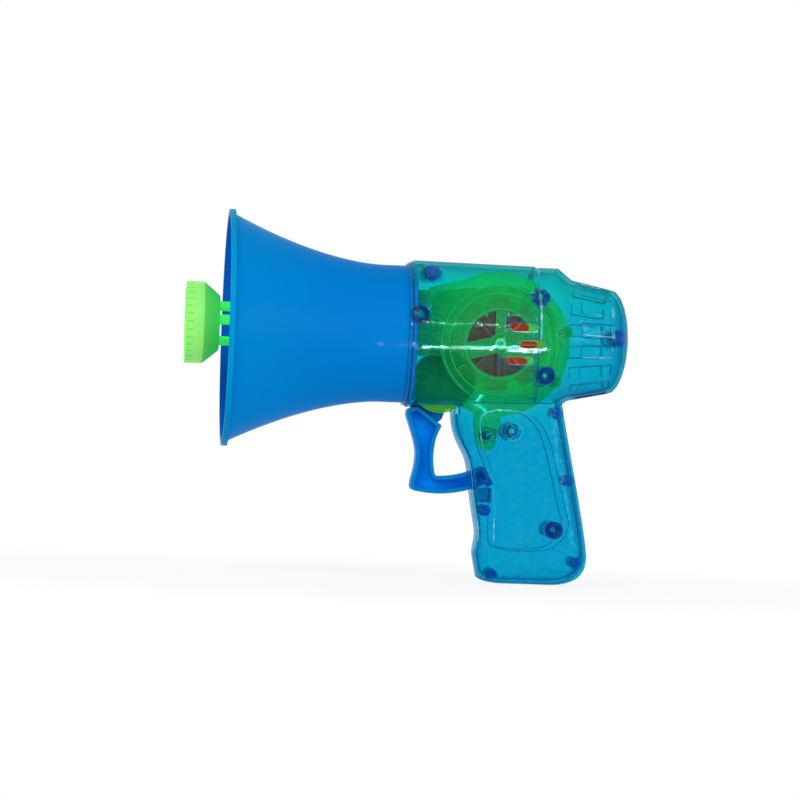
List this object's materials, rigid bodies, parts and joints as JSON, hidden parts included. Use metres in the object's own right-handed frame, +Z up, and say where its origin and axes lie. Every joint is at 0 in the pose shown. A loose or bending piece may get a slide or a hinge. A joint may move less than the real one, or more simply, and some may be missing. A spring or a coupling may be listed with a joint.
{
  "type": "bubble blower trumpet",
  "caption": "Hand-held bubble blower shaped like a trumpet: a squeezed trigger turns a geared fan that blows through a dip ring in the middle of a flared bell.",
  "frame": {"origin": "centre of the bell's mouth, on the bell's axis", "axes": "+X from the bell's mouth towards the rear knob, +Z up, +Y towards the far side of the picture, so the seam of the shell is the plane y = 0 and the handle hangs towards -Z"},
  "size_m": [0.1888, 0.1006, 0.1547],
  "materials": {
    "shell_teal": "clear moulded, glossy",
    "bell_blue": "moulded, glossy",
    "dip_green": "moulded, glossy",
    "tube_green": "clear moulded, glossy",
    "housing_lime": "clear moulded, glossy",
    "cover_lime": "clear moulded, glossy",
    "fan_red": "moulded, glossy",
    "steel": "drawn",
    "spring_steel": "drawn wire",
    "bush_brass": "turned",
    "gear_cream": "moulded",
    "gear_yellow": "moulded",
    "gear_white": "moulded",
    "plate_green": "moulded",
    "trigger_blue": "moulded, glossy"
  },
  "bodies": {
    "base": {"left_shell": "shell_teal", "right_shell": "shell_teal", "bell": "bell_blue", "dip_head": "dip_green", "air_tube": "tube_green", "blower_housing": "housing_lime", "blower_cover": "cover_lime", "fan_bushes": "bush_brass", "gear_axles": "steel", "gear_plate": "plate_green", "pivot_pin": "steel", "return_spring": "spring_steel", "shell_screws": "steel", "housing_screws": "steel", "cover_screws": "steel", "plate_screws": "steel"},
    "trigger": {"trigger": "trigger_blue"},
    "first_gear": {"first_gear": "gear_yellow"},
    "second_gear": {"second_gear": "gear_white"},
    "fan": {"impeller": "fan_red", "fan_shaft": "steel", "fan_pinion": "gear_cream"}
  },
  "joints": [
    {"name": "trigger_pull", "type": "hinge", "parent": "base", "child": "trigger", "pos_m": [0.092, 0, -0.02], "axis": [0, -1, 0], "range_deg": [0, 14], "stiffness_Nm_per_rad": 0.5, "springref_deg": -8.59, "deforming": ["return_spring"]},
    {"name": "first_gear_spin", "type": "hinge", "parent": "base", "child": "first_gear", "pos_m": [0.09912, 0, -0.00046], "axis": [0, -1, 0], "range_deg": [-47, 0]},
    {"name": "second_gear_spin", "type": "hinge", "parent": "base", "child": "second_gear", "pos_m": [0.1113, 0, 0.00896], "axis": [0, -1, 0], "range_deg": [0, 125]},
    {"name": "fan_spin", "type": "hinge", "parent": "base", "child": "fan", "pos_m": [0.11611, 0, -0.00269], "axis": [0, -1, 0], "range_deg": [-312, 0]}
  ],
  "couplings": [
    {"joint": "first_gear_spin", "follows": "trigger_pull", "ratio": -3.3333},
    {"joint": "second_gear_spin", "follows": "trigger_pull", "ratio": 8.8889},
    {"joint": "fan_spin", "follows": "trigger_pull", "ratio": -22.222}
  ]
}
